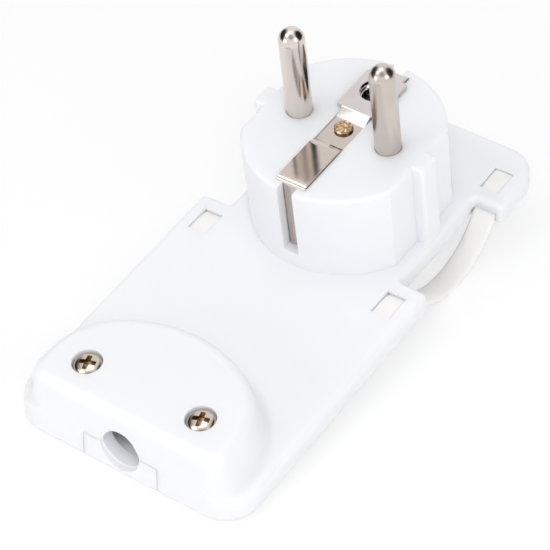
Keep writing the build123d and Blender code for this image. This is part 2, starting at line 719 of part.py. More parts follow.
# Pull straps: soft bands that bow below the plate, with an anchor block at each end
anchor_reach = 2 * strap_end - strap_head_length
with BuildPart() as pull_strap_right:
    with BuildSketch(Plane.YZ.offset(strap_inner_x)):
        trace(strap_path.line, line_width=strap_thick)
        with Locations((boss_y, plate_top)):
            Rectangle(2 * strap_shoulder, 4 * strap_bow, mode=Mode.INTERSECT)
    extrude(amount=strap_width)
    long_edges = pull_strap_right.edges().filter_by(
        lambda edge: abs(edge.tangent_at(0.5).X) < 0.1 and edge.length > 2 * strap_thick
    )
    fillet(long_edges, strap_edge_round)
    with BuildSketch(Plane.YZ.offset(strap_head_x)):
        trace(strap_path.line, line_width=strap_thick)
        with Locations((boss_y, plate_top)):
            Rectangle(2 * strap_shoulder, 4 * strap_bow, mode=Mode.SUBTRACT)
        with Locations((boss_y, strap_top - strap_head_depth / 2)):
            with GridLocations(anchor_reach, 0, 2, 1):
                Rectangle(strap_head_length, strap_head_depth)
    extrude(amount=strap_head_width)
pull_strap_right.part.label = "pull_strap_right"
export_step(pull_strap_right.part, "parts/pull_strap_right.step")
with BuildPart() as pull_strap_left:
    mirror(pull_strap_right.part, about=Plane.YZ)
pull_strap_left.part.label = "pull_strap_left"
export_step(pull_strap_left.part, "parts/pull_strap_left.step")

# Case screws: sunk pan heads with a cross recess, down into the cover's posts
case_screw_x = case_screw_spacing / 2
head_seat = hump_top - head_recess
with BuildPart() as case_screw_right:
    with BuildSketch(Plane.XY.offset(head_seat)):
        with Locations((case_screw_x, screw_y)):
            Circle(case_screw_head / 2)
    extrude(amount=case_screw_head_thick)
    fillet(case_screw_right.edges().group_by(Axis.Z)[-1], case_screw_head_round)
    with BuildSketch(Plane.XY.offset(head_seat)):
        with Locations((case_screw_x, screw_y)):
            Circle(case_screw_diameter / 2)
    extrude(amount=-case_screw_length)
    with BuildSketch(Plane.XY.offset(head_seat + case_screw_head_thick)):
        with Locations((case_screw_x, screw_y)):
            Rectangle(cross_span, cross_arm, rotation=cross_turn)
            Rectangle(cross_arm, cross_span, rotation=cross_turn)
    extrude(amount=-cross_depth, taper=cross_taper, mode=Mode.SUBTRACT)
case_screw_right.part.label = "case_screw_right"
export_step(case_screw_right.part, "parts/case_screw_right.step")
with BuildPart() as case_screw_left:
    with Locations((-case_screw_spacing, 0)):
        add(case_screw_right.part)
case_screw_left.part.label = "case_screw_left"
export_step(case_screw_left.part, "parts/case_screw_left.step")

# Cord clamp: a moulded bar across the two bosses, with a pad that presses the cord to the roof
clamp_top = inlet_z - clamp_drop
with BuildPart() as cord_clamp:
    with BuildSketch(Plane.XY.offset(clamp_top)):
        with Locations((0, clamp_y)):
            SlotOverall(clamp_length, clamp_width)
            with GridLocations(clamp_screw_spacing, 0, 2, 1):
                Circle(clamp_screw_diameter / 2 + sheet_gap, mode=Mode.SUBTRACT)
    extrude(amount=-clamp_thick)
    with BuildSketch(Plane.XY.offset(clamp_top)):
        with Locations((0, clamp_y)):
            Rectangle(clamp_pad_width, clamp_width)
    extrude(amount=clamp_pad_height)
    pad_rim = cord_clamp.faces().sort_by(Axis.Z)[-1].edges().filter_by(Axis.X)
    fillet(pad_rim, clamp_pad_round)
cord_clamp.part.label = "cord_clamp"
export_step(cord_clamp.part, "parts/cord_clamp.step")

# Clamp screws: from the back, through the bar and into the bosses
clamp_screw_x = clamp_screw_spacing / 2
with BuildPart() as clamp_screw_right:
    with BuildSketch(Plane.XY.offset(clamp_top - clamp_thick)):
        with Locations((clamp_screw_x, clamp_y)):
            Circle(clamp_screw_head / 2)
    extrude(amount=-clamp_screw_head_thick)
    with BuildSketch(Plane.XY.offset(clamp_top - clamp_thick)):
        with Locations((clamp_screw_x, clamp_y)):
            Circle(clamp_screw_diameter / 2)
    extrude(amount=clamp_screw_length)
    with BuildSketch(Plane.XY.offset(clamp_top - clamp_thick - clamp_screw_head_thick)):
        with Locations((clamp_screw_x, clamp_y)):
            Rectangle(clamp_screw_head, driver_slot)
    extrude(amount=driver_slot, mode=Mode.SUBTRACT)
clamp_screw_right.part.label = "clamp_screw_right"
export_step(clamp_screw_right.part, "parts/clamp_screw_right.step")
with BuildPart() as clamp_screw_left:
    mirror(clamp_screw_right.part, about=Plane.YZ)
clamp_screw_left.part.label = "clamp_screw_left"
export_step(clamp_screw_left.part, "parts/clamp_screw_left.step")
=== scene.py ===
# Flat earthed mains plug with two pull straps, lying on its back on a white table.
from math import asin, atan2, cos, radians, sin

import bpy
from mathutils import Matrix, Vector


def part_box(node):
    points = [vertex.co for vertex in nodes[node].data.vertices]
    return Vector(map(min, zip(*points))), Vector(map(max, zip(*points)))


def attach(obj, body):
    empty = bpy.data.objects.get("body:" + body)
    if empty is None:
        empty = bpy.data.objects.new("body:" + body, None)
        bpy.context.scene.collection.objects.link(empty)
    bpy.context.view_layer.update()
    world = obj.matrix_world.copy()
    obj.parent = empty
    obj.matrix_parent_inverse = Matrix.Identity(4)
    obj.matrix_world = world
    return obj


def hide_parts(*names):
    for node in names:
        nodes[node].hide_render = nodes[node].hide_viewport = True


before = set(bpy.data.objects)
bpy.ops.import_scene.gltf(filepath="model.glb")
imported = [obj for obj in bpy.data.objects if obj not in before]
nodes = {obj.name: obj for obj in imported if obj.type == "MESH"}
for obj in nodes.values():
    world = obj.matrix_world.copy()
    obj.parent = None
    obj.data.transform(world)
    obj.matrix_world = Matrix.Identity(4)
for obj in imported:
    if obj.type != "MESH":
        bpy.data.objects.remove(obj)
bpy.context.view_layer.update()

# Front housing, back cover and cord clamp
# Mouldings in smooth white thermoplastic: the plate with its boss and hump, the lid behind it, held
# by two screws and a hook, and the bar that grips the cord. The tool leaves a fine even grain.
grain_height = 0.00005


def new_group(name, inputs):
    group = bpy.data.node_groups.new(name, "ShaderNodeTree")
    for label, kind, value in inputs:
        socket = group.interface.new_socket(label, in_out="INPUT", socket_type="NodeSocket" + kind)
        socket.default_value = value
    for label, kind in (("Color", "Color"), ("Roughness", "Float"), ("Height", "Float")):
        group.interface.new_socket(label, in_out="OUTPUT", socket_type="NodeSocket" + kind)
    return group, group.nodes.new("NodeGroupInput"), group.nodes.new("NodeGroupOutput")


def place(tree, kind, **values):
    node = tree.nodes.new(kind)
    for key, value in values.items():
        if hasattr(node, key):
            setattr(node, key, value)
        else:
            node.inputs[key.replace("_", " ")].default_value = value
    return node


def new_material(name):
    material = bpy.data.materials.new(name)
    material.use_nodes = True
    return material, material.node_tree, material.node_tree.nodes["Principled BSDF"]


def skinned(name, group, bump, bump_height, **values):
    material, tree, shader = new_material(name)
    skin = place(tree, "ShaderNodeGroup", node_tree=group, **values)
    relief = place(tree, "ShaderNodeBump", Strength=bump, Distance=bump_height)
    tree.links.new(skin.outputs["Color"], shader.inputs["Base Color"])
    tree.links.new(skin.outputs["Roughness"], shader.inputs["Roughness"])
    tree.links.new(skin.outputs["Height"], relief.inputs["Height"])
    tree.links.new(relief.outputs["Normal"], shader.inputs["Normal"])
    return material, shader


def finish_node(name, material):
    for slot in nodes[name].material_slots:
        slot.material = material


grain, grain_in, grain_out = new_group(
    "moulded grain",
    [
        ("Tone A", "Color", (0.9, 0.9, 0.9, 1)),
        ("Tone B", "Color", (0.8, 0.8, 0.8, 1)),
        ("Low Gloss", "Float", 0.3),
        ("High Gloss", "Float", 0.4),
        ("Grain Scale", "Float", 4000.0),
    ],
)
g_coord = place(grain, "ShaderNodeTexCoord")
g_cloud = place(grain, "ShaderNodeTexNoise", Scale=55.0, Detail=3.0, Roughness=0.55)
g_patch = place(grain, "ShaderNodeTexNoise", Scale=320.0, Detail=4.0, Roughness=0.6)
g_fine = place(grain, "ShaderNodeTexNoise", Detail=2.0, Roughness=0.5)
g_mix = place(grain, "ShaderNodeMix", data_type="RGBA")
g_rough = place(grain, "ShaderNodeMapRange")
g_sum = place(grain, "ShaderNodeMath", operation="MULTIPLY_ADD")
g_sum.inputs[1].default_value = 0.6
for texture in (g_cloud, g_patch, g_fine):
    grain.links.new(g_coord.outputs["Object"], texture.inputs["Vector"])
grain.links.new(grain_in.outputs["Grain Scale"], g_fine.inputs["Scale"])
grain.links.new(g_cloud.outputs["Fac"], g_mix.inputs["Factor"])
grain.links.new(grain_in.outputs["Tone A"], g_mix.inputs["A"])
grain.links.new(grain_in.outputs["Tone B"], g_mix.inputs["B"])
grain.links.new(g_patch.outputs["Fac"], g_rough.inputs["Value"])
grain.links.new(grain_in.outputs["Low Gloss"], g_rough.inputs["To Min"])
grain.links.new(grain_in.outputs["High Gloss"], g_rough.inputs["To Max"])
grain.links.new(g_patch.outputs["Fac"], g_sum.inputs[0])
grain.links.new(g_fine.outputs["Fac"], g_sum.inputs[2])
grain.links.new(g_mix.outputs["Result"], grain_out.inputs["Color"])
grain.links.new(g_rough.outputs["Result"], grain_out.inputs["Roughness"])
grain.links.new(g_sum.outputs["Value"], grain_out.inputs["Height"])

white_moulding, white_shader = skinned(
    "white moulding", grain, 0.12, grain_height,
    Tone_A=(0.888, 0.900, 0.930, 1), Tone_B=(0.868, 0.882, 0.915, 1),
    Low_Gloss=0.34, High_Gloss=0.46, Grain_Scale=5200.0,
)
white_shader.inputs["IOR"].default_value = 1.5
white_shader.inputs["Subsurface Weight"].default_value = 0.4
white_shader.inputs["Subsurface Radius"].default_value = (1.0, 1.0, 1.0)
white_shader.inputs["Subsurface Scale"].default_value = 0.0018
for name in ("front_housing", "back_cover", "cord_clamp"):
    finish_node(name, white_moulding)

# Pull straps
# Two bands of soft warm-white plastic, moulded flat. Each is pushed through a window at both ends,
# where an anchor block holds it, and bows below the plate so that a finger can pull it.
boss_y = 0.0216
strap_thick = 0.0011
strap_edge = 0.00046
edge_steps = 5
strap_sharp = 40
head_width = 0.0039
head_shift = 0.0001
bow_width = 0.0045
anchor_depth = 0.0013
bend_start = 0.0178
shoulder = 0.0144
bend_radius = 0.00845
bow_drop = 0.0082
steps_per_radian = 20
fewest_steps = 3
merge_gap = 0.000001
level_face = 0.9
strap_low, strap_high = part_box("pull_strap_right")
strap_axis_z = strap_high.z - strap_thick / 2
strap_end = (strap_high.y - strap_low.y) / 2
head_x = strap_low.x + head_width / 2 - head_shift
bow_x = strap_high.x - bow_width / 2
strap_turn = 2 * atan2(bow_drop, bend_start)
shoulder_turn = asin((bend_start - shoulder) / bend_radius)
bow_radius = bend_start / sin(strap_turn) - bend_radius
bend_centre_z = strap_axis_z - bend_radius
bow_centre_z = bend_centre_z + (bend_radius + bow_radius) * cos(strap_turn)


def faces_down(face):
    return face.normal.z < -level_face


def pick_faces(piece, test):
    bpy.ops.object.mode_set(mode="EDIT")
    bpy.ops.mesh.select_mode(type="FACE")
    bpy.ops.mesh.select_all(action="DESELECT")
    bpy.ops.object.mode_set(mode="OBJECT")
    for face in piece.data.polygons:
        face.select = test(face)
    bpy.ops.object.mode_set(mode="EDIT")


def weld():
    bpy.ops.mesh.select_all(action="SELECT")
    bpy.ops.mesh.remove_doubles(threshold=merge_gap)
    bpy.ops.mesh.normals_make_consistent(inside=False)
    bpy.ops.object.mode_set(mode="OBJECT")


def close_up(sharp):
    weld()
    bpy.ops.object.shade_smooth_by_angle(angle=radians(sharp))


def run_band(length):
    bpy.ops.mesh.extrude_edges_move(TRANSFORM_OT_translate={"value": (0, length, 0)})


def sweep_band(turn, centre_y, centre_z):
    steps = max(fewest_steps, round(abs(turn) * steps_per_radian))
    bpy.ops.mesh.spin(steps=steps, angle=turn, center=(0, centre_y, centre_z), axis=(1, 0, 0))


def step_band(width_from, width_to, x_from, x_to):
    run_band(0)
    bpy.ops.transform.resize(value=(width_to / width_from, 1, 1), center_override=(x_from, 0, 0))
    bpy.ops.transform.translate(value=(x_to - x_from, 0, 0))


bpy.ops.object.select_all(action="DESELECT")
bpy.ops.mesh.primitive_plane_add(
    size=1.0, location=(head_x, boss_y - strap_end, strap_axis_z), rotation=(radians(90), 0, 0)
)
strap_right = bpy.context.object
strap_right.name = "strap_band_right"
strap_right.scale = (head_width, strap_thick, 1)
bpy.ops.object.transform_apply(location=True, rotation=True, scale=True)
bpy.ops.object.mode_set(mode="EDIT")
bpy.ops.mesh.select_all(action="SELECT")
bpy.ops.mesh.bevel(offset=strap_edge, segments=edge_steps, affect="VERTICES")
bpy.ops.mesh.delete(type="ONLY_FACE")
bpy.ops.mesh.select_all(action="SELECT")
run_band(strap_end - bend_start)
sweep_band(shoulder_turn, boss_y - bend_start, bend_centre_z)
step_band(head_width, bow_width, head_x, bow_x)
sweep_band(strap_turn - shoulder_turn, boss_y - bend_start, bend_centre_z)
sweep_band(-2 * strap_turn, boss_y, bow_centre_z)
sweep_band(strap_turn - shoulder_turn, boss_y + bend_start, bend_centre_z)
step_band(bow_width, head_width, bow_x, head_x)
sweep_band(shoulder_turn, boss_y + bend_start, bend_centre_z)
run_band(strap_end - bend_start)
bpy.ops.mesh.select_all(action="SELECT")
bpy.ops.mesh.fill_holes(sides=0)
weld()
pick_faces(
    strap_right, lambda face: faces_down(face) and abs(face.center.y - boss_y) > bend_start
)
bpy.ops.mesh.extrude_region_move(TRANSFORM_OT_translate={"value": (0, 0, -anchor_depth)})
close_up(strap_sharp)
bpy.ops.object.duplicate(linked=False)
strap_left = bpy.context.object
strap_left.name = "strap_band_left"
bpy.ops.object.mode_set(mode="EDIT")
bpy.ops.mesh.select_all(action="SELECT")
bpy.ops.transform.resize(value=(-1, 1, 1), center_override=(0, 0, 0))
close_up(strap_sharp)
soft_strap, strap_shader = skinned(
    "soft strap", grain, 0.2, grain_height,
    Tone_A=(0.930, 0.912, 0.895, 1), Tone_B=(0.910, 0.892, 0.872, 1),
    Low_Gloss=0.42, High_Gloss=0.55, Grain_Scale=3200.0,
)
strap_shader.inputs["Subsurface Weight"].default_value = 0.35
strap_shader.inputs["Subsurface Radius"].default_value = (1.0, 0.95, 0.9)
strap_shader.inputs["Subsurface Scale"].default_value = 0.0012
for band, name in ((strap_right, "pull_strap_right"), (strap_left, "pull_strap_left")):
    band.data.materials.append(soft_strap)
    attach(band, "root")
    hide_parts(name)

# Pins and earth strip
# Brass plated with bright nickel. The pins are turned and riveted to their busbars. The strip is
# folded from sheet over the boss. From its far slope to its hole its colour is made paler, a painted
# reflection, and on the slope it is dull and whitened, a painted highlight.
plating_height = 0.00003
pin_lathe = (0.6, 0.6, 14.0)
pale_from = 0.0232
pale_full = 0.0238
# painted reflection: the strip's colour is multiplied paler from its far slope to its hole
painted_sheen_share = (1.10, 1.16, 1.24, 1)
slope_middle = 0.0246
slope_half = 0.0010
slope_gloss = 0.27
# painted highlight: the slope's colour is multiplied towards white; its roughness is raised as well
painted_highlight_share = (1.25, 1.30, 1.32, 1)
plating, plating_in, plating_out = new_group(
    "nickel plating",
    [
        ("Stretch", "Vector", (1.0, 1.0, 1.0)),
        ("Low Gloss", "Float", 0.15),
        ("High Gloss", "Float", 0.3),
        ("Tone A", "Color", (0.6, 0.6, 0.6, 1)),
        ("Tone B", "Color", (0.5, 0.5, 0.5, 1)),
    ],
)
p_coord = place(plating, "ShaderNodeTexCoord")
p_map = place(plating, "ShaderNodeMapping")
p_lines = place(plating, "ShaderNodeTexNoise", Scale=400.0, Detail=4.0, Roughness=0.65)
p_cloud = place(plating, "ShaderNodeTexNoise", Scale=260.0, Detail=3.0, Roughness=0.6)
p_mix = place(plating, "ShaderNodeMix", data_type="RGBA")
p_rough = place(plating, "ShaderNodeMapRange")
plating.links.new(p_coord.outputs["Object"], p_map.inputs["Vector"])
plating.links.new(plating_in.outputs["Stretch"], p_map.inputs["Scale"])
plating.links.new(p_map.outputs["Vector"], p_lines.inputs["Vector"])
plating.links.new(p_coord.outputs["Object"], p_cloud.inputs["Vector"])
plating.links.new(p_cloud.outputs["Fac"], p_mix.inputs["Factor"])
plating.links.new(plating_in.outputs["Tone A"], p_mix.inputs["A"])
plating.links.new(plating_in.outputs["Tone B"], p_mix.inputs["B"])
plating.links.new(p_lines.outputs["Fac"], p_rough.inputs["Value"])
plating.links.new(plating_in.outputs["Low Gloss"], p_rough.inputs["To Min"])
plating.links.new(plating_in.outputs["High Gloss"], p_rough.inputs["To Max"])
plating.links.new(p_mix.outputs["Result"], plating_out.inputs["Color"])
plating.links.new(p_rough.outputs["Result"], plating_out.inputs["Roughness"])
plating.links.new(p_lines.outputs["Fac"], plating_out.inputs["Height"])


def metal(name, group, bump, **values):
    material, shader = skinned(name, group, bump, plating_height, **values)
    shader.inputs["Metallic"].default_value = 1.0
    return material


pin_nickel = metal(
    "turned nickel", plating, 0.10, Tone_A=(0.79, 0.72, 0.68, 1), Tone_B=(0.69, 0.62, 0.575, 1),
    Stretch=pin_lathe, Low_Gloss=0.09, High_Gloss=0.22,
)
dull_nickel = metal(
    "dull turned nickel", plating, 0.16, Tone_A=(0.70, 0.63, 0.59, 1), Tone_B=(0.57, 0.50, 0.46, 1),
    Stretch=pin_lathe, Low_Gloss=0.14, High_Gloss=0.30,
)
strip_nickel = metal(
    "rolled nickel", plating, 0.08, Tone_A=(0.65, 0.575, 0.53, 1), Tone_B=(0.57, 0.495, 0.45, 1),
    Stretch=(10.0, 0.7, 0.7), Low_Gloss=0.06, High_Gloss=0.15,
)
s_tree = strip_nickel.node_tree
s_shader = s_tree.nodes["Principled BSDF"]
s_tone = s_shader.inputs["Base Color"].links[0].from_socket
s_gloss = s_shader.inputs["Roughness"].links[0].from_socket
s_coord = place(s_tree, "ShaderNodeTexCoord")
s_split = place(s_tree, "ShaderNodeSeparateXYZ")
s_far = place(s_tree, "ShaderNodeMapRange", From_Min=pale_from, From_Max=pale_full)
s_painted_sheen = place(s_tree, "ShaderNodeMix", data_type="RGBA", blend_type="MULTIPLY", B=painted_sheen_share)
s_slope = place(s_tree, "ShaderNodeMath", operation="COMPARE")
s_slope.inputs[1].default_value = slope_middle
s_slope.inputs[2].default_value = slope_half
s_dull = place(s_tree, "ShaderNodeMix", data_type="FLOAT", B=slope_gloss)
s_painted_highlight = place(s_tree, "ShaderNodeMix", data_type="RGBA", blend_type="MULTIPLY", B=painted_highlight_share)
s_tree.links.new(s_coord.outputs["Object"], s_split.inputs["Vector"])
s_tree.links.new(s_split.outputs["Y"], s_far.inputs["Value"])
s_tree.links.new(s_split.outputs["Y"], s_slope.inputs[0])
s_tree.links.new(s_far.outputs["Result"], s_painted_sheen.inputs["Factor"])
s_tree.links.new(s_tone, s_painted_sheen.inputs["A"])
s_tree.links.new(s_slope.outputs["Value"], s_dull.inputs["Factor"])
s_tree.links.new(s_gloss, s_dull.inputs["A"])
s_tree.links.new(s_slope.outputs["Value"], s_painted_highlight.inputs["Factor"])
s_tree.links.new(s_painted_sheen.outputs["Result"], s_painted_highlight.inputs["A"])
s_tree.links.new(s_painted_highlight.outputs["Result"], s_shader.inputs["Base Color"])
s_tree.links.new(s_dull.outputs["Result"], s_shader.inputs["Roughness"])
finish_node("pin_left", pin_nickel)
finish_node("pin_right", dull_nickel)
finish_node("earth_strip", strip_nickel)

# Earth socket
# A sprung sleeve of plated brass below the hole in the strip. Its mouth is a funnel, and the tongues
# under it lean in to grip the outlet's earth pin before they open again.
socket_low, socket_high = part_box("earth_socket")
socket_x, socket_y = (socket_low.x + socket_high.x) / 2, (socket_low.y + socket_high.y) / 2
socket_flange = (socket_high.x - socket_low.x) / 2
socket_wall = 0.0004
socket_sides = 64
socket_sharp = 35
funnel_rings = ((0.0028, 0.0), (0.00268, 0.00006), (0.0025, 0.00022), (0.00236, 0.00048))
tongue_rings = ((0.00227, 0.0010), (0.00222, 0.0024), (0.00226, 0.0042), (0.0024, 0.0060))
foot_rings = ((0.00245, 0.0080), (0.00245, 0.0130))


def scale_flat(share, x, y):
    bpy.ops.transform.resize(value=(share, share, 1), center_override=(x, y, 0))


bpy.ops.object.select_all(action="DESELECT")
bpy.ops.mesh.primitive_circle_add(
    vertices=socket_sides, radius=socket_flange, location=(socket_x, socket_y, socket_high.z)
)
socket = bpy.context.object
socket.name = "sprung_socket"
bpy.ops.object.transform_apply(location=True, rotation=True, scale=True)
bpy.ops.object.mode_set(mode="EDIT")
bpy.ops.mesh.select_all(action="SELECT")
ring_at, ring_depth = socket_flange, 0.0
for ring, depth in funnel_rings + tongue_rings + foot_rings:
    bpy.ops.mesh.extrude_edges_move(TRANSFORM_OT_translate={"value": (0, 0, ring_depth - depth)})
    scale_flat(ring / ring_at, socket_x, socket_y)
    ring_at, ring_depth = ring, depth
weld()
sleeve = socket.modifiers.new("wall", "SOLIDIFY")
sleeve.thickness = socket_wall
sleeve.offset = -1.0 if socket.data.polygons[0].normal.z > 0 else 1.0
bpy.ops.object.modifier_apply(modifier=sleeve.name)
bpy.ops.object.mode_set(mode="EDIT")
close_up(socket_sharp)
sleeve_nickel = metal(
    "sleeve nickel", plating, 0.10, Tone_A=(0.90, 0.86, 0.83, 1), Tone_B=(0.82, 0.78, 0.75, 1),
    Stretch=(6.0, 6.0, 0.7), Low_Gloss=0.08, High_Gloss=0.18,
)
socket.data.materials.append(sleeve_nickel)
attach(socket, "root")
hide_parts("earth_socket")

# Earth rivet
# A brass rivet through the strip and the boss. Its head is struck flat with a coarse die, which
# leaves it dented and bright in grains; the shank below is plain. The side of the head and the
# shank are coloured dark brown as painted shade.
rivet_radius = 0.00175
shank_radius = 0.0013
head_height = 0.0007
head_side = 0.0004
rivet_rim = 0.00022
rivet_sides = 40
rivet_sharp = 14
rivet_slope = 0.5
dent_reach = 0.8 * rivet_radius
dent_depth = 0.00011
dent_seed = 7
rivet_low, rivet_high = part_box("earth_rivet")
head_foot = rivet_high.z - head_height
head_top = head_foot + head_side


def faces_up(face):
    return face.normal.z > level_face


bpy.ops.object.select_all(action="DESELECT")
bpy.ops.mesh.primitive_cylinder_add(
    vertices=rivet_sides, radius=rivet_radius, depth=head_side,
    location=(0, boss_y, head_foot + head_side / 2),
)
rivet = bpy.context.object
rivet.name = "struck_rivet"
bpy.ops.object.transform_apply(location=True, rotation=True, scale=True)
pick_faces(rivet, faces_down)
bpy.ops.mesh.inset(thickness=rivet_radius - shank_radius)
bpy.ops.mesh.extrude_region_move(
    TRANSFORM_OT_translate={"value": (0, 0, rivet_low.z - head_foot)}
)
bpy.ops.object.mode_set(mode="OBJECT")
pick_faces(rivet, faces_up)
bpy.ops.mesh.inset(thickness=rivet_rim)
bpy.ops.transform.translate(value=(0, 0, rivet_rim / 2))
bpy.ops.mesh.delete(type="ONLY_FACE")
bpy.ops.object.mode_set(mode="OBJECT")
rim_level = head_top + rivet_rim / 4
for edge in rivet.data.edges:
    edge.select = all(rivet.data.vertices[i].co.z > rim_level for i in edge.vertices)
bpy.ops.object.mode_set(mode="EDIT")
bpy.ops.mesh.select_mode(type="EDGE")
bpy.ops.mesh.fill_grid(span=rivet_sides // 4)
bpy.ops.object.mode_set(mode="OBJECT")


def takes_dents(face):
    across, along = abs(face.center.x), abs(face.center.y - boss_y)
    return faces_up(face) and across < dent_reach and along < dent_reach


pick_faces(rivet, takes_dents)
bpy.ops.transform.vertex_random(offset=dent_depth, uniform=0.0, normal=0.0, seed=dent_seed)
close_up(rivet_sharp)
brass, brass_in, brass_out = new_group(
    "struck brass",
    [
        ("Tone A", "Color", (0.8, 0.6, 0.3, 1)),
        ("Tone B", "Color", (0.4, 0.25, 0.1, 1)),
        ("Grain Scale", "Float", 1800.0),
    ],
)
b_coord = place(brass, "ShaderNodeTexCoord")
b_grain = place(brass, "ShaderNodeTexVoronoi", feature="F1")
b_dust = place(brass, "ShaderNodeTexNoise", Scale=2600.0, Detail=3.0, Roughness=0.6)
b_mix = place(brass, "ShaderNodeMix", data_type="RGBA")
b_edge = place(brass, "ShaderNodeMapRange", From_Min=0.25, From_Max=0.75)
b_rough = place(brass, "ShaderNodeMapRange", To_Min=0.16, To_Max=0.42)
brass.links.new(b_coord.outputs["Object"], b_grain.inputs["Vector"])
brass.links.new(b_coord.outputs["Object"], b_dust.inputs["Vector"])
brass.links.new(brass_in.outputs["Grain Scale"], b_grain.inputs["Scale"])
brass.links.new(b_grain.outputs["Distance"], b_edge.inputs["Value"])
brass.links.new(b_edge.outputs["Result"], b_mix.inputs["Factor"])
brass.links.new(brass_in.outputs["Tone A"], b_mix.inputs["A"])
brass.links.new(brass_in.outputs["Tone B"], b_mix.inputs["B"])
brass.links.new(b_dust.outputs["Fac"], b_rough.inputs["Value"])
brass.links.new(b_mix.outputs["Result"], brass_out.inputs["Color"])
brass.links.new(b_rough.outputs["Result"], brass_out.inputs["Roughness"])
brass.links.new(b_dust.outputs["Fac"], brass_out.inputs["Height"])

struck_brass = metal(
    "struck brass", brass, 0.6,
    Tone_A=(0.84, 0.62, 0.40, 1), Tone_B=(0.32, 0.19, 0.10, 1), Grain_Scale=1900.0,
)
# painted shade: faces that lean away from the top, the head's side and the shank, get a dark brown
# brass
shaded_side_brass = metal(
    "rivet painted shade", brass, 0.4,
    Tone_A=(0.30, 0.20, 0.11, 1), Tone_B=(0.16, 0.10, 0.06, 1), Grain_Scale=1900.0,
)
rivet.data.materials.append(struck_brass)
rivet.data.materials.append(shaded_side_brass)
for face in rivet.data.polygons:
    face.material_index = 1 if face.normal.z < rivet_slope else 0
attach(rivet, "root")
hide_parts("earth_rivet")

# Busbars and terminals
# Plain brass bars and blocks inside the housing. The bars are blanked from strip, and the blocks are
# cut from square rod and drilled for the wires and their screws.
bar_brass = metal(
    "plain brass", brass, 0.3,
    Tone_A=(0.76, 0.57, 0.33, 1), Tone_B=(0.66, 0.47, 0.25, 1), Grain_Scale=500.0,
)
for name in ("busbar_left", "busbar_right", "earth_busbar"):
    finish_node(name, bar_brass)
for name in ("terminal_left", "terminal_right", "earth_terminal"):
    finish_node(name, bar_brass)

# Case screws
# Two steel screws with a thin brownish plating. The head is domed, with a cross recess for the
# driver, and it sits in a well in the hump. The recess is coloured with painted shade, dark brown,
# and painted glints, bright golden patches.
screw_low, screw_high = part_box("case_screw_right")
screw_x, screw_y = (screw_low.x + screw_high.x) / 2, (screw_low.y + screw_high.y) / 2
screw_spacing = 0.0241
screw_radius = 0.00265
screw_shank = 0.0015
screw_head = 0.0016
screw_lift = 0.0004
screw_side = 0.0012
screw_sides = 64
screw_sharp = 28
dome_rings = 6
dome_tip = 0.0001
cross_turn = radians(18)
cross_span = 0.0043
cross_arm = 0.00125
cross_deep = 0.0012
cross_taper = 0.5
recess_reach = 0.8 * screw_radius
recess_slope = 0.7
screw_foot = screw_high.z - screw_head
recess_level = screw_high.z - cross_deep / 2


def pick_object(piece):
    bpy.ops.object.select_all(action="DESELECT")
    bpy.context.view_layer.objects.active = piece
    piece.select_set(True)


bpy.ops.object.select_all(action="DESELECT")
bpy.ops.mesh.primitive_cylinder_add(
    vertices=screw_sides, radius=screw_radius, depth=screw_side,
    location=(screw_x, screw_y, screw_foot + screw_side / 2),
)
screw_right = bpy.context.object
screw_right.name = "cross_screw_right"
bpy.ops.object.transform_apply(location=True, rotation=True, scale=True)
pick_faces(screw_right, faces_down)
bpy.ops.mesh.inset(thickness=screw_radius - screw_shank)
bpy.ops.mesh.extrude_region_move(
    TRANSFORM_OT_translate={"value": (0, 0, screw_low.z - screw_foot)}
)
bpy.ops.object.mode_set(mode="OBJECT")
pick_faces(screw_right, faces_up)
dome_at, dome_high = screw_radius, 0.0
for step in range(1, dome_rings + 1):
    lean = radians(90 * step / dome_rings)
    dome_next = max(screw_radius * cos(lean), dome_tip)
    rise = (screw_head + screw_lift - screw_side) * sin(lean)
    bpy.ops.mesh.extrude_region_move(TRANSFORM_OT_translate={"value": (0, 0, rise - dome_high)})
    scale_flat(dome_next / dome_at, screw_x, screw_y)
    dome_at, dome_high = dome_next, rise
bpy.ops.object.mode_set(mode="OBJECT")
for quarter in (0, 90):
    bpy.ops.object.select_all(action="DESELECT")
    bpy.ops.mesh.primitive_cube_add(
        size=1.0, location=(screw_x, screw_y, screw_high.z + screw_lift),
        rotation=(0, 0, cross_turn + radians(quarter)),
    )
    bar = bpy.context.object
    bar.scale = (cross_span, cross_arm, 2 * cross_deep)
    bpy.ops.object.transform_apply(location=True, rotation=True, scale=True)
    pick_faces(bar, faces_down)
    scale_flat(cross_taper, screw_x, screw_y)
    bpy.ops.object.mode_set(mode="OBJECT")
    pick_object(screw_right)
    recess = screw_right.modifiers.new("recess", "BOOLEAN")
    recess.operation = "DIFFERENCE"
    recess.solver = "EXACT"
    recess.object = bar
    bpy.ops.object.modifier_apply(modifier=recess.name)
    bpy.data.objects.remove(bar)
bpy.ops.object.mode_set(mode="EDIT")
close_up(screw_sharp)
screw_steel = metal(
    "plated steel", plating, 0.15, Tone_A=(0.68, 0.60, 0.54, 1), Tone_B=(0.58, 0.50, 0.44, 1),
    Stretch=(2.0, 2.0, 2.0), Low_Gloss=0.08, High_Gloss=0.20,
)
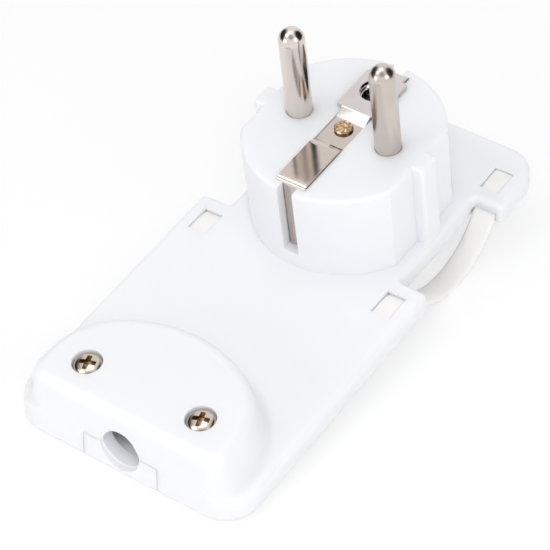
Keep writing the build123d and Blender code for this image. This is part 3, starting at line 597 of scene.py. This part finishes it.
# painted shade and painted glints: the cross recess mixes a dark brown with bright golden patches
recess_steel_painted_shade_and_glints = metal(
    "recess steel with painted shade and glints", plating, 0.6, Tone_A=(0.78, 0.64, 0.47, 1), Tone_B=(0.36, 0.26, 0.17, 1),
    Stretch=(3.0, 3.0, 3.0), Low_Gloss=0.10, High_Gloss=0.30,
)
screw_right.data.materials.append(screw_steel)
screw_right.data.materials.append(recess_steel_painted_shade_and_glints)
for face in screw_right.data.polygons:
    from_axis = (face.center.x - screw_x) ** 2 + (face.center.y - screw_y) ** 2
    in_head = from_axis < recess_reach ** 2 and face.center.z > screw_foot
    if in_head and (face.normal.z < recess_slope or face.center.z < recess_level):
        face.material_index = 1
pick_object(screw_right)
bpy.ops.object.duplicate(linked=False)
screw_left = bpy.context.object
screw_left.name = "cross_screw_left"
bpy.ops.object.mode_set(mode="EDIT")
bpy.ops.mesh.select_all(action="SELECT")
bpy.ops.transform.translate(value=(-screw_spacing, 0, 0))
bpy.ops.object.mode_set(mode="OBJECT")
for screw, name in ((screw_right, "case_screw_right"), (screw_left, "case_screw_left")):
    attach(screw, "root")
    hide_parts(name)

# Clamp and terminal screws
# Small slotted steel screws inside the housing, with the same plating as the case screws.
for name in ("clamp_screw_left", "clamp_screw_right"):
    finish_node(name, screw_steel)
for name in ("terminal_screw_left", "terminal_screw_right", "earth_terminal_screw"):
    finish_node(name, screw_steel)

# Table
# A wide white sheet. The plug lies on its straps and on the lower edge of its cord end, so the
# sheet slopes against the plate by about four degrees. Seen from below it is clear.
table_size = 4.0
table_slope = radians(4.23)
table_gap = 0.0001
paper_lift = 0.6
bpy.ops.object.select_all(action="DESELECT")
bpy.ops.mesh.primitive_plane_add(
    size=table_size, location=(0, 0, 0), rotation=(-table_slope, 0, 0)
)
table = bpy.context.object
table.name = "table"
table.location = (0, boss_y * cos(table_slope), -table_gap)
bpy.ops.object.transform_apply(location=True, rotation=True, scale=True)
paper, paper_tree, paper_shader = new_material("white paper")
paper_shader.inputs["Roughness"].default_value = 0.9
paper_shader.inputs["Specular IOR Level"].default_value = 0.0
paper_coord = place(paper_tree, "ShaderNodeTexCoord")
paper_tone = place(paper_tree, "ShaderNodeTexNoise", Scale=0.75, Detail=2.0)
paper_ramp = place(paper_tree, "ShaderNodeValToRGB")
paper_ramp.color_ramp.elements[0].color = (0.985, 0.985, 0.985, 1)
paper_ramp.color_ramp.elements[1].color = (1.0, 1.0, 1.0, 1)
paper_rays = place(paper_tree, "ShaderNodeLightPath")
paper_side = place(paper_tree, "ShaderNodeNewGeometry")
paper_share = place(paper_tree, "ShaderNodeMath", operation="MULTIPLY")
paper_share.inputs[1].default_value = paper_lift
paper_below = place(paper_tree, "ShaderNodeMath", operation="MULTIPLY")
paper_glow = place(paper_tree, "ShaderNodeEmission", Strength=1.0)
paper_clear = place(paper_tree, "ShaderNodeBsdfTransparent")
paper_mix = place(paper_tree, "ShaderNodeMixShader")
paper_view = place(paper_tree, "ShaderNodeMixShader")
paper_end = paper_tree.nodes["Material Output"]
paper_tree.links.new(paper_coord.outputs["Object"], paper_tone.inputs["Vector"])
paper_tree.links.new(paper_tone.outputs["Fac"], paper_ramp.inputs["Fac"])
paper_tree.links.new(paper_ramp.outputs["Color"], paper_shader.inputs["Base Color"])
paper_tree.links.new(paper_rays.outputs["Is Camera Ray"], paper_share.inputs[0])
paper_tree.links.new(paper_share.outputs[0], paper_mix.inputs[0])
paper_tree.links.new(paper_shader.outputs[0], paper_mix.inputs[1])
paper_tree.links.new(paper_glow.outputs[0], paper_mix.inputs[2])
paper_tree.links.new(paper_rays.outputs["Is Camera Ray"], paper_below.inputs[0])
paper_tree.links.new(paper_side.outputs["Backfacing"], paper_below.inputs[1])
paper_tree.links.new(paper_below.outputs[0], paper_view.inputs[0])
paper_tree.links.new(paper_mix.outputs[0], paper_view.inputs[1])
paper_tree.links.new(paper_clear.outputs[0], paper_view.inputs[2])
paper_tree.links.new(paper_view.outputs[0], paper_end.inputs["Surface"])
table.data.materials.append(paper)

# Studio light
# Soft boxes overhead, at the cord end and on the right, one for the strip's slope, and one near the
# lens that nothing mirrors. The room is pale, with three dark parts that only reflections show.
boss_place = (0.0, boss_y, 0.028)
room_fill = 0.64
soft_share = 0.55


def toward(azimuth, elevation):
    flat = cos(radians(elevation))
    return flat * cos(radians(azimuth)), flat * sin(radians(azimuth)), sin(radians(elevation))


def soft_box(name, azimuth, elevation, distance, size, power):
    lamp = bpy.data.lights.new(name, "AREA")
    lamp.shape = "SQUARE"
    lamp.size = size
    lamp.energy = power
    box = bpy.data.objects.new(name, lamp)
    bpy.context.scene.collection.objects.link(box)
    out = toward(azimuth, elevation)
    box.location = [boss_place[i] + distance * out[i] for i in range(3)]
    box.rotation_euler = (radians(90 - elevation), 0, radians(azimuth + 90))
    return box


soft_box("overhead box", 140, 74, distance=0.70, size=0.28, power=0.44)
soft_box("cord end box", -114, 18, distance=0.65, size=0.25, power=0.34)
soft_box("right box", -8, 30, distance=0.65, size=0.27, power=0.34)
soft_box("slope box", -141, 59, distance=0.65, size=0.24, power=0.30)
front_box = soft_box("front box", -46, 48, distance=0.60, size=0.20, power=0.92)
front_box.visible_glossy = False
world = bpy.data.worlds.new("pale room")
bpy.context.scene.world = world
world.use_nodes = True
room = world.node_tree
sky = room.nodes["Background"]
sky.inputs["Color"].default_value = (1, 1, 1, 1)
rays = place(room, "ShaderNodeLightPath")
outward = place(room, "ShaderNodeTexCoord")
wall = None
for azimuth, elevation, reach, left in (
    (-172, 12, 50, 0.02),
    (48, 24, 46, 0.02),
    (-55, 62, 26, 0.45),
):
    facing = place(room, "ShaderNodeVectorMath", operation="DOT_PRODUCT")
    facing.inputs[1].default_value = toward(azimuth, elevation)
    shade = place(
        room, "ShaderNodeMapRange", interpolation_type="SMOOTHSTEP",
        From_Min=cos(radians(reach)), From_Max=cos(radians(soft_share * reach)),
        To_Min=1.0, To_Max=left,
    )
    room.links.new(outward.outputs["Generated"], facing.inputs[0])
    room.links.new(facing.outputs["Value"], shade.inputs["Value"])
    if wall is None:
        wall = shade.outputs["Result"]
        continue
    both = place(room, "ShaderNodeMath", operation="MULTIPLY")
    room.links.new(wall, both.inputs[0])
    room.links.new(shade.outputs["Result"], both.inputs[1])
    wall = both.outputs["Value"]
mirrored = place(room, "ShaderNodeMath", operation="MAXIMUM")
fill = place(room, "ShaderNodeMix", data_type="FLOAT", A=room_fill)
seen = place(room, "ShaderNodeMix", data_type="FLOAT", B=1.0)
room.links.new(rays.outputs["Is Glossy Ray"], mirrored.inputs[0])
room.links.new(rays.outputs["Is Transmission Ray"], mirrored.inputs[1])
room.links.new(mirrored.outputs["Value"], fill.inputs["Factor"])
room.links.new(wall, fill.inputs["B"])
room.links.new(rays.outputs["Is Camera Ray"], seen.inputs["Factor"])
room.links.new(fill.outputs["Result"], seen.inputs["A"])
room.links.new(seen.outputs["Result"], sky.inputs["Strength"])
bpy.context.scene.view_settings.view_transform = "Standard"

# Camera
# A long lens above the right front corner, turned slightly about its own axis.
focal_length = 169.16
camera_place = (0.205359, -0.236168, 0.344262)
camera_turn = (42.8565, 5.3349, 35.5186)
lens = bpy.data.cameras.new("camera")
lens.lens = focal_length
lens.sensor_width = 36.0
lens.clip_start = 0.01
camera = bpy.data.objects.new("camera", lens)
bpy.context.scene.collection.objects.link(camera)
camera.location = camera_place
camera.rotation_euler = [radians(turn) for turn in camera_turn]
bpy.context.scene.camera = camera
